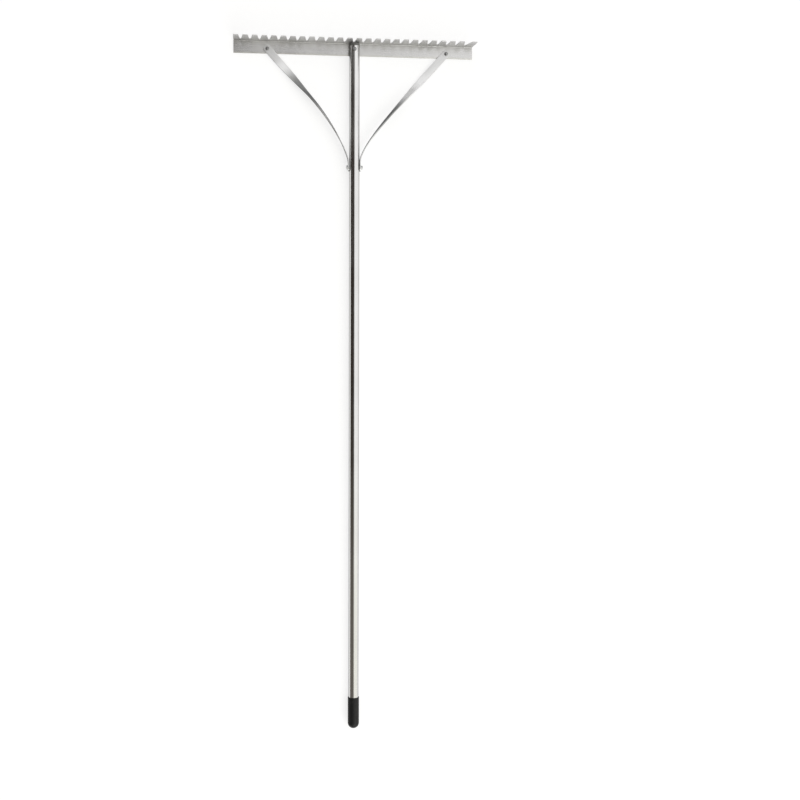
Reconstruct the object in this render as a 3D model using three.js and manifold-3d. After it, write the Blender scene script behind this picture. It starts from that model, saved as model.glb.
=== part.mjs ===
// Sand leveler: a T-shaped aluminium rake with a long tubular handle. One flange of its angle
// head is cut into teeth for raking, and the other ends in a bevelled edge for levelling.
// Millimetres, +Z up. It lies on its back: head along X, handle along Y, teeth pointing up.
import * as THREE from 'three';
import { mergeVertices } from 'three/addons/utils/BufferGeometryUtils.js';
import Module from 'manifold-3d';

const wasm = await Module();
wasm.setup();

// Head bar: a flange with teeth, which stands up, and a web, which lies on the floor
const headLength = 652;
const flangeDepth = 60;
const webHeight = 36;
const headWall = 3;
const toothPitch = 25.4;
const toothTipWidth = 13;
const toothLength = 41;
const gapRootRadius = 2.3;
const endToothSplay = 5;
const bevelHeight = 5;
const edgeThickness = 1.2;

// Handle tube with its end plug and grip cap
const overallLength = 1890;
const tubeRadius = 14;
const tubeWall = 1.5;
const flangeClearance = 1.5;
const plugHeadThickness = 8;
const plugShankLength = 7;
const plugShankWall = 2;
const plugRibCount = 2;
const plugRibHeight = 0.5;
const plugEdgeChamfer = 0.8;
const plugFit = 0.2;
const gripLength = 88;
const gripWall = 1.5;
const gripNoseWall = 3.5;
const gripRimChamfer = 0.5;
const gripFit = 0.1;

// Braces: flat straps that lie on the web, twist a quarter turn and end beside the tube. Their
// shares are of the slanted run from the screw to the tube's side
const braceWidth = 20;
const braceThickness = 3;
const braceEdgeChamfer = 0.7;
const braceEndMargin = 11;
const braceAngle = THREE.MathUtils.degToRad(47.7);
const braceSeatGap = 0.1;
const braceEndRun = 14;
const braceBoltDistance = 339;
const braceFlatRun = 26;
const leftBrace = {
  side: -1,
  endInset: 91,
  straightShare: 0.491,
  leadShare: 0.387,
  earlyTwist: THREE.MathUtils.degToRad(66),
  earlyTwistShare: 0.567,
  riseShare: 0.718,
  trail: 10,
};
const rightBrace = {
  side: 1,
  endInset: 73,
  straightShare: 0.479,
  leadShare: 0.32,
  earlyTwist: THREE.MathUtils.degToRad(72),
  earlyTwistShare: 0.68,
  riseShare: 0.831,
  trail: 30,
};

// Countersunk head screws, with their washers and lock nuts on the side of the teeth
const screwEdgeInset = 13;
const screwRadius = 2.5;
const screwHeadRadius = 5;
const screwHeadRecess = 0.2;
const screwSocketAcrossFlats = 3;
const screwSocketDepth = 1.8;
const screwProud = 1;
const screwWasher = { outerRadius: 5, thickness: 1 };
const screwNut = { acrossFlats: 8, hexHeight: 3.6, collarRadius: 3.8, collarWall: 0.6, collarHeight: 1.4 };

// Brace bolt, through both straps and the tube
const boltRadius = 3;
const boltHeadAcrossFlats = 10;
const boltHeadHeight = 3.5;
const boltProud = 0.5;
const boltWasher = { outerRadius: 6, thickness: 1 };
const boltNut = { acrossFlats: 10, hexHeight: 3.4, collarRadius: 4.8, collarWall: 0.7, collarHeight: 1 };

// Fits and cuts shared by all pieces
const holeClearance = 0.25;
const threadClearance = 0.1;
const insertDrop = 0.2;
const nutChamfer = 0.6;
const cutOverrun = 2;

// Facets
const tubeSides = 48;
const fastenerSides = 24;
const hexSides = 6;
const noseSteps = 9;
const rootSteps = 3;
const roundEndSteps = 6;
const strapStep = 8;

const quarterTurn = Math.PI / 2;
const fullTurn = Math.PI * 2;

// Places that follow from the sizes. The flange's outer face is at y = 0, the handle at x = 0
const tubeHeight = headWall + tubeRadius;
const screwLine = -(webHeight - screwEdgeInset);
const boltLine = -braceBoltDistance;
const plugFace = -(headWall + flangeClearance);
const tubeTop = plugFace - plugHeadThickness;
const gripRadius = tubeRadius + gripFit + gripWall;
const tubeBottom = -overallLength + gripRadius;
const gripTop = -overallLength + gripLength;
const screwHole = screwRadius + holeClearance;
const boltHole = boltRadius + holeClearance;
const strapOffset = tubeRadius + braceSeatGap + braceThickness / 2;

const bareAluminium = new THREE.MeshStandardMaterial({ color: 0xc4c6c6, roughness: 0.38, metalness: 1 });
const drawnAluminium = new THREE.MeshStandardMaterial({ color: 0xcfd0ce, roughness: 0.24, metalness: 1 });
const zincSteel = new THREE.MeshStandardMaterial({ color: 0xa9abad, roughness: 0.35, metalness: 1 });
const blackVinyl = new THREE.MeshStandardMaterial({ color: 0x1c1d1d, roughness: 0.55, metalness: 0 });
const greyPlastic = new THREE.MeshStandardMaterial({ color: 0x5c5d60, roughness: 0.45, metalness: 0 });
const darkNylon = new THREE.MeshStandardMaterial({ color: 0x2a2d33, roughness: 0.5, metalness: 0 });

// Joining and cutting

function solidOf(geometry) {
  const bare = new THREE.BufferGeometry();
  bare.setAttribute('position', geometry.getAttribute('position').clone());
  if (geometry.index) {
    bare.setIndex(geometry.index.clone());
  }
  const merged = mergeVertices(bare);
  return new wasm.Manifold(new wasm.Mesh({
    numProp: 3,
    vertProperties: new Float32Array(merged.getAttribute('position').array),
    triVerts: new Uint32Array(merged.index.array),
  }));
}

function geometryOf(solid) {
  const { vertProperties, triVerts } = solid.getMesh();
  const geometry = new THREE.BufferGeometry();
  geometry.setAttribute('position', new THREE.BufferAttribute(vertProperties, 3));
  geometry.setIndex(new THREE.BufferAttribute(triVerts, 1));
  return geometry;
}

function cut(geometry, ...cutters) {
  return geometryOf(cutters.reduce((solid, cutter) => solid.subtract(solidOf(cutter)), solidOf(geometry)));
}

// Turned shapes. An outline is a list of [radius, height] pairs

function turnedAlongY(outline, sides) {
  const points = outline.map(([radius, height]) => new THREE.Vector2(radius, height));
  return new THREE.LatheGeometry(points, sides);
}

function turnedAlongZ(outline, sides = fastenerSides) {
  return turnedAlongY(outline, sides).rotateX(quarterTurn);
}

function rodAlongZ(radius, bottom, top) {
  return turnedAlongZ([[0, bottom], [radius, bottom], [radius, top], [0, top]]);
}

function rodAlongX(radius, from, to) {
  return rodAlongZ(radius, from, to).rotateY(quarterTurn);
}

function ringAlongZ(innerRadius, outerRadius, bottom, top) {
  const corners = [[innerRadius, bottom], [outerRadius, bottom], [outerRadius, top], [innerRadius, top]];
  return turnedAlongZ([...corners, corners[0]]);
}

function hexAlongZ(acrossFlats, bottom, top) {
  const cornerRadius = acrossFlats / Math.sqrt(3);
  const corners = Array.from({ length: hexSides }, (_, corner) => new THREE.Vector2(cornerRadius, 0)
    .rotateAround(new THREE.Vector2(), (corner / hexSides) * fullTurn));
  const prism = new THREE.ExtrudeGeometry(new THREE.Shape(corners), {
    depth: top - bottom,
    bevelEnabled: false,
  });
  return prism.translate(0, 0, bottom);
}

// Head bar

// The teeth are counted from the left end. The last one leans outwards, as wide at its tip as the rest
function flangeOutline() {
  const halfLength = headLength / 2;
  const gapMouth = toothPitch - toothTipWidth;
  const gapCount = Math.floor((headLength - toothTipWidth) / toothPitch);
  const rootCentre = flangeDepth - toothLength + gapRootRadius;
  const lastTip = halfLength + endToothSplay;
  const outline = new THREE.Shape();
  outline.moveTo(-halfLength, 0);
  outline.lineTo(halfLength, 0);
  outline.lineTo(lastTip, flangeDepth);
  for (let gap = gapCount; gap >= 1; gap -= 1) {
    const middle = -halfLength + gap * toothPitch - gapMouth / 2;
    const mouthEnd = gap === gapCount ? lastTip - toothTipWidth : middle + gapMouth / 2;
    outline.lineTo(mouthEnd, flangeDepth);
    outline.lineTo(middle + gapRootRadius, rootCentre);
    outline.absarc(middle, rootCentre, gapRootRadius, 0, -Math.PI, true);
    outline.lineTo(middle - gapMouth / 2, flangeDepth);
  }
  outline.lineTo(-halfLength, flangeDepth);
  return outline;
}

function screwReach({ endInset }) {
  return headLength / 2 - endInset;
}

function headBar() {
  const flange = new THREE.ExtrudeGeometry(flangeOutline(), {
    depth: headWall,
    bevelEnabled: false,
    curveSegments: rootSteps,
  }).rotateX(quarterTurn);
  const webSection = new THREE.Shape([
    new THREE.Vector2(0, 0),
    new THREE.Vector2(0, headWall),
    new THREE.Vector2(-webHeight + bevelHeight, headWall),
    new THREE.Vector2(-webHeight, edgeThickness),
    new THREE.Vector2(-webHeight, 0),
  ]);
  const web = new THREE.ExtrudeGeometry(webSection, { depth: headLength, bevelEnabled: false })
    .rotateX(quarterTurn)
    .rotateZ(quarterTurn)
    .translate(-headLength / 2, 0, 0);
  const countersinkRadius = screwHeadRadius + threadClearance;
  const countersink = [
    [0, -cutOverrun],
    [countersinkRadius + cutOverrun, -cutOverrun],
    [screwHole, countersinkRadius - screwHole],
    [screwHole, headWall + cutOverrun],
    [0, headWall + cutOverrun],
  ];
  const countersinks = [-screwReach(leftBrace), 0, screwReach(rightBrace)]
    .map((x) => turnedAlongZ(countersink).translate(x, screwLine, 0));
  return cut(geometryOf(solidOf(flange).add(solidOf(web))), ...countersinks);
}

// Handle

function handleTube() {
  const innerRadius = tubeRadius - tubeWall;
  const tube = turnedAlongY([
    [innerRadius, tubeBottom],
    [tubeRadius, tubeBottom],
    [tubeRadius, tubeTop],
    [innerRadius, tubeTop],
    [innerRadius, tubeBottom],
  ], tubeSides);
  const reach = tubeRadius + cutOverrun;
  const screwDrill = rodAlongZ(screwHole, -reach, reach).translate(0, screwLine, 0);
  const boltDrill = rodAlongX(boltHole, -reach, reach).translate(0, boltLine, 0);
  return cut(tube, screwDrill, boltDrill);
}

function endPlug() {
  const ribRadius = tubeRadius - tubeWall - plugFit;
  const shankRadius = ribRadius - plugRibHeight;
  const ribPitch = plugShankLength / plugRibCount;
  const ribs = Array.from({ length: plugRibCount }, (_, rib) => {
    const foot = tubeTop - plugShankLength + rib * ribPitch;
    const crest = foot + ribPitch / 2;
    return [[shankRadius, foot], [ribRadius, crest], [shankRadius, crest]];
  });
  return turnedAlongY([
    [0, tubeTop],
    [shankRadius - plugShankWall, tubeTop],
    [shankRadius - plugShankWall, tubeTop - plugShankLength],
    ...ribs.flat(),
    [shankRadius, tubeTop],
    [tubeRadius, tubeTop],
    [tubeRadius, plugFace - plugEdgeChamfer],
    [tubeRadius - plugEdgeChamfer, plugFace],
    [0, plugFace],
  ], tubeSides);
}

function gripCap() {
  const boreRadius = tubeRadius + gripFit;
  const noseBore = gripRadius - gripNoseWall;
  const angles = Array.from({ length: noseSteps }, (_, step) => (step / noseSteps) * quarterTurn);
  const outerNose = angles.map((angle) => [
    gripRadius * Math.sin(angle),
    tubeBottom - gripRadius * Math.cos(angle),
  ]);
  const innerNose = angles.reverse().map((angle) => [
    noseBore * Math.sin(angle),
    tubeBottom - noseBore * Math.cos(angle),
  ]);
  return turnedAlongY([
    ...outerNose,
    [gripRadius, tubeBottom],
    [gripRadius, gripTop - gripRimChamfer],
    [gripRadius - gripRimChamfer, gripTop],
    [boreRadius, gripTop],
    [boreRadius, tubeBottom],
    [noseBore, tubeBottom],
    ...innerNose,
  ], tubeSides);
}

// Braces

function smoothShare(value, start, end) {
  const share = THREE.MathUtils.clamp((value - start) / (end - start), 0, 1);
  return share * share * (3 - 2 * share);
}

function slantedRun(brace) {
  return (screwReach(brace) - strapOffset) / Math.cos(braceAngle);
}

function bracePath(brace) {
  const direction = new THREE.Vector3(-brace.side * Math.cos(braceAngle), -Math.sin(braceAngle), 0);
  const along = new THREE.Vector3(0, 1, 0);
  const screw = new THREE.Vector3(brace.side * screwReach(brace), screwLine, 0);
  const bolt = new THREE.Vector3(brace.side * strapOffset, boltLine, 0);
  const run = slantedRun(brace);
  const bendStart = screw.clone().addScaledVector(direction, brace.straightShare * run);
  const bendEnd = bolt.clone().addScaledVector(along, braceEndRun);
  const path = new THREE.CurvePath();
  path.add(new THREE.LineCurve3(screw.clone().addScaledVector(direction, -braceEndMargin), bendStart));
  path.add(new THREE.CubicBezierCurve3(
    bendStart,
    bendStart.clone().addScaledVector(direction, brace.leadShare * run),
    bendEnd.clone().addScaledVector(along, brace.trail),
    bendEnd,
  ));
  path.add(new THREE.LineCurve3(bendEnd, bolt.clone().addScaledVector(along, -braceEndMargin)));
  return path;
}

// Distances along a strap with the half width there, rounded at both ends
function strapStations(length) {
  const halfWidth = braceWidth / 2;
  const roundEnd = Array.from({ length: roundEndSteps }, (_, step) => {
    const angle = ((step + 1) / roundEndSteps) * quarterTurn;
    return { distance: halfWidth * (1 - Math.cos(angle)), halfWidth: halfWidth * Math.sin(angle) };
  });
  const bodyLength = length - braceWidth;
  const bodySteps = Math.ceil(bodyLength / strapStep);
  const body = Array.from({ length: bodySteps - 1 }, (_, step) => ({
    distance: halfWidth + ((step + 1) / bodySteps) * bodyLength,
    halfWidth,
  }));
  const farEnd = roundEnd.map((station) => ({ ...station, distance: length - station.distance })).reverse();
  return [...roundEnd, ...body, ...farEnd];
}

function strapSection(halfWidth) {
  const halfThickness = braceThickness / 2;
  const innerWidth = halfWidth - braceEdgeChamfer;
  const innerThickness = halfThickness - braceEdgeChamfer;
  return [
    [innerWidth, halfThickness], [-innerWidth, halfThickness],
    [-halfWidth, innerThickness], [-halfWidth, -innerThickness],
    [-innerWidth, -halfThickness], [innerWidth, -halfThickness],
    [halfWidth, -innerThickness], [halfWidth, innerThickness],
  ];
}

// Most of the quarter turn comes early. The rest follows evenly up to the straight end by the tube
function twistAt(brace, fromScrew, lateEnd) {
  const earlyEnd = brace.earlyTwistShare * slantedRun(brace);
  const early = smoothShare(fromScrew, braceFlatRun, earlyEnd);
  const late = THREE.MathUtils.clamp((fromScrew - earlyEnd) / (lateEnd - earlyEnd), 0, 1);
  return brace.earlyTwist * early + (quarterTurn - brace.earlyTwist) * late;
}

function strapFrame(brace, path, length, distance) {
  const lowCentre = headWall + braceThickness / 2;
  const rise = tubeHeight - lowCentre;
  const fromScrew = distance - braceEndMargin;
  const riseEnd = brace.riseShare * slantedRun(brace);
  const heightAt = (along) => lowCentre + rise * smoothShare(along, braceFlatRun, riseEnd);
  const flat = path.getTangent(distance / length);
  const half = strapStep / 2;
  const slope = (heightAt(fromScrew + half) - heightAt(fromScrew - half)) / strapStep;
  const inward = new THREE.Vector3(flat.y, -flat.x, 0).multiplyScalar(brace.side).normalize();
  const tangent = new THREE.Vector3(flat.x, flat.y, slope).normalize();
  const up = new THREE.Vector3().crossVectors(inward, tangent).multiplyScalar(brace.side);
  const twist = twistAt(brace, fromScrew, length - 2 * braceEndMargin - braceEndRun);
  const face = up.multiplyScalar(Math.cos(twist)).addScaledVector(inward, Math.sin(twist));
  const across = new THREE.Vector3().crossVectors(tangent, face);
  const centre = path.getPoint(distance / length).setZ(heightAt(fromScrew));
  return { centre, face, across };
}

function sweepStrap(brace) {
  const path = bracePath(brace);
  const length = path.getLength();
  const stations = strapStations(length);
  const positions = [];
  const triangles = [];
  for (const { distance, halfWidth } of stations) {
    const { centre, face, across } = strapFrame(brace, path, length, distance);
    for (const [sideways, outward] of strapSection(halfWidth)) {
      const corner = centre.clone().addScaledVector(across, sideways).addScaledVector(face, outward);
      positions.push(corner.x, corner.y, corner.z);
    }
  }
  const sides = strapSection(braceWidth).length;
  for (let row = 0; row < stations.length - 1; row += 1) {
    for (let side = 0; side < sides; side += 1) {
      const near = row * sides + side;
      const next = row * sides + ((side + 1) % sides);
      triangles.push(near, next + sides, next, near, near + sides, next + sides);
    }
  }
  const lastRow = (stations.length - 1) * sides;
  for (let side = 1; side < sides - 1; side += 1) {
    triangles.push(0, side, side + 1);
    triangles.push(lastRow, lastRow + side + 1, lastRow + side);
  }
  const strap = new THREE.BufferGeometry();
  strap.setAttribute('position', new THREE.Float32BufferAttribute(positions, 3));
  strap.setIndex(triangles);
  return strap;
}

function braceStrap(brace) {
  const screwDrill = rodAlongZ(screwHole, 0, headWall + braceThickness + cutOverrun)
    .translate(brace.side * screwReach(brace), screwLine, 0);
  const reach = strapOffset + braceThickness + cutOverrun;
  const boltDrill = rodAlongX(boltHole, -reach, reach).translate(0, boltLine, tubeHeight);
  return cut(sweepStrap(brace), screwDrill, boltDrill);
}

// Fasteners, each along +Z with its seat at z = 0

function countersunkScrew(length) {
  const stem = turnedAlongZ([
    [0, 0],
    [screwHeadRadius - screwHeadRecess, 0],
    [screwRadius, screwHeadRadius - screwHeadRecess - screwRadius],
    [screwRadius, length],
    [0, length],
  ]);
  return cut(stem, hexAlongZ(screwSocketAcrossFlats, -cutOverrun, screwSocketDepth));
}

function washer({ outerRadius, thickness }, holeRadius) {
  return ringAlongZ(holeRadius, outerRadius, 0, thickness);
}

// A hexagon with its corners taken off at the given ends
function chamferedHex(acrossFlats, bottom, top, chamferBottom, chamferTop) {
  const flatRadius = acrossFlats / 2;
  const cornerRadius = acrossFlats / Math.sqrt(3);
  const envelope = turnedAlongZ([
    [0, bottom],
    [chamferBottom ? flatRadius : cornerRadius + cutOverrun, bottom],
    [cornerRadius + cutOverrun, chamferBottom ? bottom + nutChamfer + cutOverrun / 2 : bottom],
    [cornerRadius + cutOverrun, chamferTop ? top - nutChamfer - cutOverrun / 2 : top],
    [chamferTop ? flatRadius : cornerRadius + cutOverrun, top],
    [0, top],
  ]);
  return solidOf(hexAlongZ(acrossFlats, bottom, top)).intersect(solidOf(envelope));
}

function lockNut({ acrossFlats, hexHeight, collarRadius, collarWall, collarHeight }, threadRadius) {
  const top = hexHeight + collarHeight;
  const hexagon = chamferedHex(acrossFlats, 0, hexHeight, true, false);
  const collar = ringAlongZ(collarRadius - collarWall, collarRadius, hexHeight / 2, top);
  const bore = rodAlongZ(threadRadius + threadClearance, -cutOverrun, top + cutOverrun);
  return geometryOf(hexagon.add(solidOf(collar)).subtract(solidOf(bore)));
}

function nutInsert({ hexHeight, collarRadius, collarWall, collarHeight }, threadRadius) {
  const innerRadius = threadRadius + threadClearance;
  const outerRadius = collarRadius - collarWall - threadClearance;
  return ringAlongZ(innerRadius, outerRadius, hexHeight, hexHeight + collarHeight - insertDrop);
}

function hexBolt(length) {
  const head = chamferedHex(boltHeadAcrossFlats, -boltHeadHeight, 0, true, false);
  return geometryOf(head.add(solidOf(rodAlongZ(boltRadius, -boltHeadHeight / 2, length))));
}

// Assembly

function piece(name, geometry, material, height = 0) {
  const mesh = new THREE.Mesh(geometry, material);
  mesh.name = name;
  mesh.position.z = height;
  return mesh;
}

function screwSet(name, x, gripHeight) {
  const nutSeat = gripHeight + screwWasher.thickness;
  const screwTip = nutSeat + screwNut.hexHeight + screwNut.collarHeight + screwProud;
  const set = new THREE.Group();
  set.add(piece(`${name}_screw`, countersunkScrew(screwTip - screwHeadRecess), zincSteel, screwHeadRecess));
  set.add(piece(`${name}_washer`, washer(screwWasher, screwHole), zincSteel, gripHeight));
  set.add(piece(`${name}_nut`, lockNut(screwNut, screwRadius), zincSteel, nutSeat));
  set.add(piece(`${name}_nut_insert`, nutInsert(screwNut, screwRadius), darkNylon, nutSeat));
  set.position.set(x, screwLine, 0);
  return set;
}

function boltSet() {
  const strapFace = tubeRadius + 2 * braceSeatGap + braceThickness;
  const nutSeat = strapFace + boltWasher.thickness;
  const boltLength = 2 * nutSeat + boltNut.hexHeight + boltNut.collarHeight + boltProud;
  const set = new THREE.Group();
  set.add(piece('brace_bolt', hexBolt(boltLength), zincSteel, -nutSeat));
  set.add(piece('brace_bolt_head_washer', washer(boltWasher, boltHole), zincSteel, -nutSeat));
  set.add(piece('brace_bolt_nut_washer', washer(boltWasher, boltHole), zincSteel, strapFace));
  set.add(piece('brace_bolt_nut', lockNut(boltNut, boltRadius), zincSteel, nutSeat));
  set.add(piece('brace_bolt_nut_insert', nutInsert(boltNut, boltRadius), darkNylon, nutSeat));
  set.rotation.y = quarterTurn;
  set.position.set(0, boltLine, tubeHeight);
  return set;
}

const leveler = new THREE.Group();
leveler.add(piece('head_bar', headBar(), bareAluminium));
leveler.add(piece('handle_tube', handleTube(), drawnAluminium, tubeHeight));
leveler.add(piece('tube_end_plug', endPlug(), greyPlastic, tubeHeight));
leveler.add(piece('grip_cap', gripCap(), blackVinyl, tubeHeight));
leveler.add(piece('left_brace', braceStrap(leftBrace), bareAluminium));
leveler.add(piece('right_brace', braceStrap(rightBrace), bareAluminium));
leveler.add(screwSet('left_brace', -screwReach(leftBrace), headWall + braceThickness));
leveler.add(screwSet('right_brace', screwReach(rightBrace), headWall + braceThickness));
leveler.add(screwSet('handle', 0, headWall + 2 * tubeRadius));
leveler.add(boltSet());
leveler.position.set(-endToothSplay / 2, overallLength / 2, 0);

const assembly = new THREE.Group();
assembly.add(leveler);

export default assembly;
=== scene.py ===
# Sand leveler lying on its back on a pale studio floor, seen from above
import math
import bmesh
import bpy
from mathutils import Euler, Matrix, Vector


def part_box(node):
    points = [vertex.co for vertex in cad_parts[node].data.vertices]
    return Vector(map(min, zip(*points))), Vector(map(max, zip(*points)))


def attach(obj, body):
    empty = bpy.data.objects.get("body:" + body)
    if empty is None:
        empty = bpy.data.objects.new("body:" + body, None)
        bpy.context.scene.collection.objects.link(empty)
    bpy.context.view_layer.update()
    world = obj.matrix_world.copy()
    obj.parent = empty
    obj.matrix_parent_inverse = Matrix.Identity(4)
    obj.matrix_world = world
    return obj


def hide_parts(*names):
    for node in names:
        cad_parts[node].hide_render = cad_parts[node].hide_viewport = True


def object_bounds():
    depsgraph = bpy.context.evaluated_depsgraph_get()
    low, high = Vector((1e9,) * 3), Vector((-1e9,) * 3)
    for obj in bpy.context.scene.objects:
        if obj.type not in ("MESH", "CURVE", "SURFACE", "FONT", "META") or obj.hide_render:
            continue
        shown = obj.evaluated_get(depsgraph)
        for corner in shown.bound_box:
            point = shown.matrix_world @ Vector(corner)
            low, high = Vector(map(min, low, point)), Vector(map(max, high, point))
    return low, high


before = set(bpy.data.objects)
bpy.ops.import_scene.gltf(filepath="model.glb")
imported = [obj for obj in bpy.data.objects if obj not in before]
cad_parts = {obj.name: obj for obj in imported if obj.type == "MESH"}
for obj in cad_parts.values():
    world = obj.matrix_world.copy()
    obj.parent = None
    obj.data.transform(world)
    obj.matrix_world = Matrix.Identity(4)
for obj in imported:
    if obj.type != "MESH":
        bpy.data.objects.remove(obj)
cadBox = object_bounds()
scene = bpy.context.scene
mm = 0.001

# Places that every piece shares, read from the frame
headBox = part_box("head_bar")
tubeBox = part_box("handle_tube")
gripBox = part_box("grip_cap")
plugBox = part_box("tube_end_plug")
handleX = (tubeBox[0].x + tubeBox[1].x) / 2
handleZ = (tubeBox[0].z + tubeBox[1].z) / 2
tubeRadius = (tubeBox[1].x - tubeBox[0].x) / 2
flangeFace = headBox[1].y

# Radii of the holes for screws and bolt, and what the three screws' nodes are named after
holes = {"screw": 2.75 * mm, "bolt": 3.25 * mm}
screwNames = ("left_brace", "right_brace", "handle")


def middle(node):
    low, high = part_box(node)
    return (low + high) / 2


# Mesh making
weldDistance = 0.002 * mm
sliverLength = 0.001 * mm


# Joins close points and takes out slivers where asked, and turns the faces outwards
def repairMesh(mesh, weld=0.0, sliver=0.0):
    shell = bmesh.new()
    shell.from_mesh(mesh)
    if weld:
        bmesh.ops.remove_doubles(shell, verts=shell.verts, dist=weld)
    if sliver:
        bmesh.ops.dissolve_degenerate(shell, edges=shell.edges, dist=sliver)
    bmesh.ops.recalc_face_normals(shell, faces=shell.faces)
    shell.to_mesh(mesh)
    shell.free()


def meshFrom(name, points, faces):
    mesh = bpy.data.meshes.new(name)
    mesh.from_pydata([tuple(point) for point in points], [], faces)
    repairMesh(mesh, weld=weldDistance)
    return mesh


def showPiece(name, mesh, slot, *nodes):
    piece = bpy.data.objects.new(name, mesh)
    scene.collection.objects.link(piece)
    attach(piece, "root")
    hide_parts(*nodes)
    return piece


def helperObject(name, data):
    helper = bpy.data.objects.new(name, data)
    scene.collection.objects.link(helper)
    return helper


def dropHelper(helper):
    data = helper.data
    bpy.data.objects.remove(helper, do_unlink=True)
    store = bpy.data.meshes if isinstance(data, bpy.types.Mesh) else bpy.data.curves
    store.remove(data)


def bakedMesh(helper, name):
    bpy.context.view_layer.update()
    evaluated = helper.evaluated_get(bpy.context.evaluated_depsgraph_get())
    mesh = bpy.data.meshes.new_from_object(evaluated)
    mesh.name = name
    return mesh


# Smooth shading that keeps large faces flat beside their softened edges
def finishMesh(mesh, angle=32):
    mesh.validate()
    mesh.shade_smooth()
    mesh.set_sharp_from_angle(angle=math.radians(angle))
    carrier = helperObject(mesh.name + "Carrier", mesh)
    weigh = carrier.modifiers.new("evenNormals", "WEIGHTED_NORMAL")
    weigh.keep_sharp = True
    result = bakedMesh(carrier, mesh.name)
    dropHelper(carrier)
    return result


def soften(helper, sizes):
    rounding = helper.modifiers.new("softEdges", "BEVEL")
    rounding.width = sizes["softening"]
    rounding.segments = sizes["softSegments"]
    rounding.limit_method = "ANGLE"
    rounding.angle_limit = math.radians(sizes["softAngle"])


# A profile entry for a hexagon: half its width across flats, and a height that slopes past the start radius
def hexCorner(flat, height, slope=0.0, start=0.0):
    return (flat, height, slope, start)


def hexRadius(flat, angle):
    return flat / math.cos((angle % (math.pi / 3)) - math.pi / 6)


# Turns a profile about Z: its entries are (radius, height) or made by hexCorner
def turnedMesh(name, profile, steps, closed=False):
    points, faces = [], []
    for step in range(steps):
        angle = 2 * math.pi * step / steps
        for radius, height, *chamfer in profile:
            if chamfer:
                slope, start = chamfer
                radius = hexRadius(radius, angle)
                height += slope * max(radius - start, 0)
            points.append((radius * math.cos(angle), radius * math.sin(angle), height))
    count = len(profile)
    spans = count if closed else count - 1
    for step in range(steps):
        here, there = step * count, ((step + 1) % steps) * count
        for row in range(spans):
            above = (row + 1) % count
            faces.append((here + row, there + row, there + above, here + above))
    mesh = meshFrom(name, points, faces)
    repairMesh(mesh, sliver=sliverLength)
    return mesh


def arcProfile(centre, radius, start, end, steps):
    turn = [math.radians(start + (end - start) * step / steps) for step in range(steps + 1)]
    return [(centre[0] + radius * math.cos(a), centre[1] + radius * math.sin(a)) for a in turn]


# Node trees

def feed(tree, node, key, value):
    socket = node.inputs[key]
    if isinstance(value, bpy.types.NodeSocket):
        tree.links.new(value, socket)
    elif isinstance(value, bpy.types.Node):
        tree.links.new(value.outputs[0], socket)
    else:
        socket.default_value = value


def feedAll(tree, node, values):
    for key, value in values.items():
        feed(tree, node, key, value)


def addNode(tree, kind, settings=None, **inputs):
    node = tree.nodes.new(kind)
    for key, value in (settings or {}).items():
        setattr(node, key, value)
    feedAll(tree, node, inputs)
    return node


def mathNode(tree, operation, *values, clamp=False):
    node = addNode(tree, "ShaderNodeMath", {"operation": operation, "use_clamp": clamp})
    feedAll(tree, node, dict(enumerate(values)))
    return node.outputs[0]


def plus(tree, first, second):
    return mathNode(tree, "ADD", first, second)


def minus(tree, first, second):
    return mathNode(tree, "SUBTRACT", first, second)


def times(tree, first, second):
    return mathNode(tree, "MULTIPLY", first, second)


def vectorNode(tree, operation, *values):
    node = addNode(tree, "ShaderNodeVectorMath", {"operation": operation})
    feedAll(tree, node, dict(enumerate(values)))
    return node.outputs["Value" if operation == "DOT_PRODUCT" else "Vector"]


def scaled(tree, vector, factor):
    node = addNode(tree, "ShaderNodeVectorMath", {"operation": "SCALE"})
    feedAll(tree, node, {0: vector, "Scale": factor})
    return node.outputs["Vector"]


def joinParts(tree, *parts):
    node = addNode(tree, "GeometryNodeJoinGeometry")
    for part in parts:
        feed(tree, node, "Geometry", part)
    return node


def newTree(name, sockets):
    tree = bpy.data.node_groups.new(name, "GeometryNodeTree")
    tree.interface.new_socket("Geometry", in_out="INPUT", socket_type="NodeSocketGeometry")
    for label, kind in sockets:
        tree.interface.new_socket(label, in_out="INPUT", socket_type="NodeSocket" + kind)
    tree.interface.new_socket("Geometry", in_out="OUTPUT", socket_type="NodeSocketGeometry")
    return tree, addNode(tree, "NodeGroupInput"), addNode(tree, "NodeGroupOutput")


def closeTree(tree, geometry, material, outlet):
    realized = addNode(tree, "GeometryNodeRealizeInstances", Geometry=geometry)
    painted = addNode(tree, "GeometryNodeSetMaterial", Geometry=realized, Material=material)
    feed(tree, outlet, "Geometry", painted)


def runTree(helper, tree, values):
    modifier = helper.modifiers.new(tree.name, "NODES")
    modifier.node_group = tree
    named = {item.name: item.identifier for item in tree.interface.items_tree if item.in_out == "INPUT"}
    for label, value in values.items():
        modifier[named[label]] = value


# Finishes

def newMaterial(name):
    material = bpy.data.materials.new(name)
    material.use_nodes = True
    return material, material.node_tree, material.node_tree.nodes["Principled BSDF"]


def surfacePlace(tree, attribute=None):
    if attribute:
        return addNode(tree, "ShaderNodeAttribute", {"attribute_name": attribute}).outputs["Vector"]
    return addNode(tree, "ShaderNodeTexCoord").outputs["Object"]


def stretchedNoise(tree, place, scale, detail=3.0, roughness=0.55):
    spread = addNode(tree, "ShaderNodeMapping", Vector=place, Scale=scale)
    noise = addNode(tree, "ShaderNodeTexNoise", Vector=spread, Scale=1.0, Detail=detail, Roughness=roughness)
    return noise.outputs["Fac"]


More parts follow.
